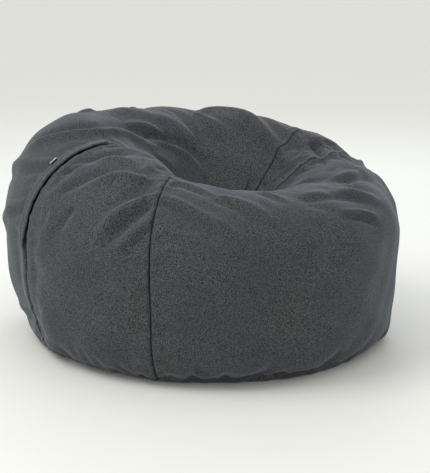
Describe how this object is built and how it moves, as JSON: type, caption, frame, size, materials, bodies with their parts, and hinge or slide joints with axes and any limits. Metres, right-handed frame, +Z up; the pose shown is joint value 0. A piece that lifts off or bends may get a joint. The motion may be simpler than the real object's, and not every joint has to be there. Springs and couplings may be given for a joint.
{
  "type": "bean bag chair",
  "caption": "Low, round bean bag chair with a dished seat, a raised back, a sewn cover of four gores and a zip under a flap over its left shoulder.",
  "frame": {"origin": "middle of the base on the floor", "axes": "+X to the right as seen from the front, -Y out of the open front of the seat, +Z up. Left and right in the names are as seen from the front"},
  "size_m": [1.11, 1.19, 0.6583],
  "materials": {
    "cover_fabric": "matte",
    "base_fabric": "matte",
    "zip_tape": "matte",
    "zip_coil": "satin",
    "zip_metal": "satin",
    "label_ribbon": "satin",
    "inner_fabric": "matte",
    "inner_zip_tape": "matte",
    "inner_zip_coil": "satin",
    "foam_beads": "matte"
  },
  "bodies": {
    "bag": {"front_panel": "cover_fabric", "left_side_panel": "cover_fabric", "right_side_panel": "cover_fabric", "back_panel": "cover_fabric", "base_panel": "base_fabric", "seat_patch": "cover_fabric", "zip_flap": "cover_fabric", "zip_tape_left": "zip_tape", "zip_tape_back": "zip_tape", "zip_coil_left": "zip_coil", "zip_coil_back": "zip_coil", "zip_top_stop": "zip_metal", "zip_bottom_stop": "zip_metal", "side_label": "label_ribbon", "inner_bag_front": "inner_fabric", "inner_bag_left_side": "inner_fabric", "inner_bag_right_side": "inner_fabric", "inner_bag_back": "inner_fabric", "inner_bag_base": "inner_fabric", "inner_bag_patch": "inner_fabric", "inner_zip_tape_front": "inner_zip_tape", "inner_zip_tape_back": "inner_zip_tape", "inner_zip_coil_front": "inner_zip_coil", "inner_zip_coil_back": "inner_zip_coil", "inner_zip_stops": "zip_metal", "bead_fill": "foam_beads"},
    "runner": {"zip_slider": "zip_metal"},
    "puller": {"zip_puller": "zip_metal"},
    "inner_runner": {"inner_zip_slider": "zip_metal"}
  },
  "joints": [
    {"name": "zip_travel", "type": "hinge", "parent": "bag", "child": "runner", "pos_m": [-0.27354, 0.11052, 0.34], "axis": [0.3746, 0.9272, 0], "range_deg": [0, 97]},
    {"name": "puller_swing", "type": "hinge", "parent": "runner", "child": "puller", "pos_m": [-0.51928, 0.2098, 0.29174], "axis": [0.3746, 0.9272, 0], "range_deg": [0, 150]},
    {"name": "inner_zip_travel", "type": "slide", "parent": "bag", "child": "inner_runner", "axis": [1, 0, 0], "range_m": [0, 0.38]}
  ]
}
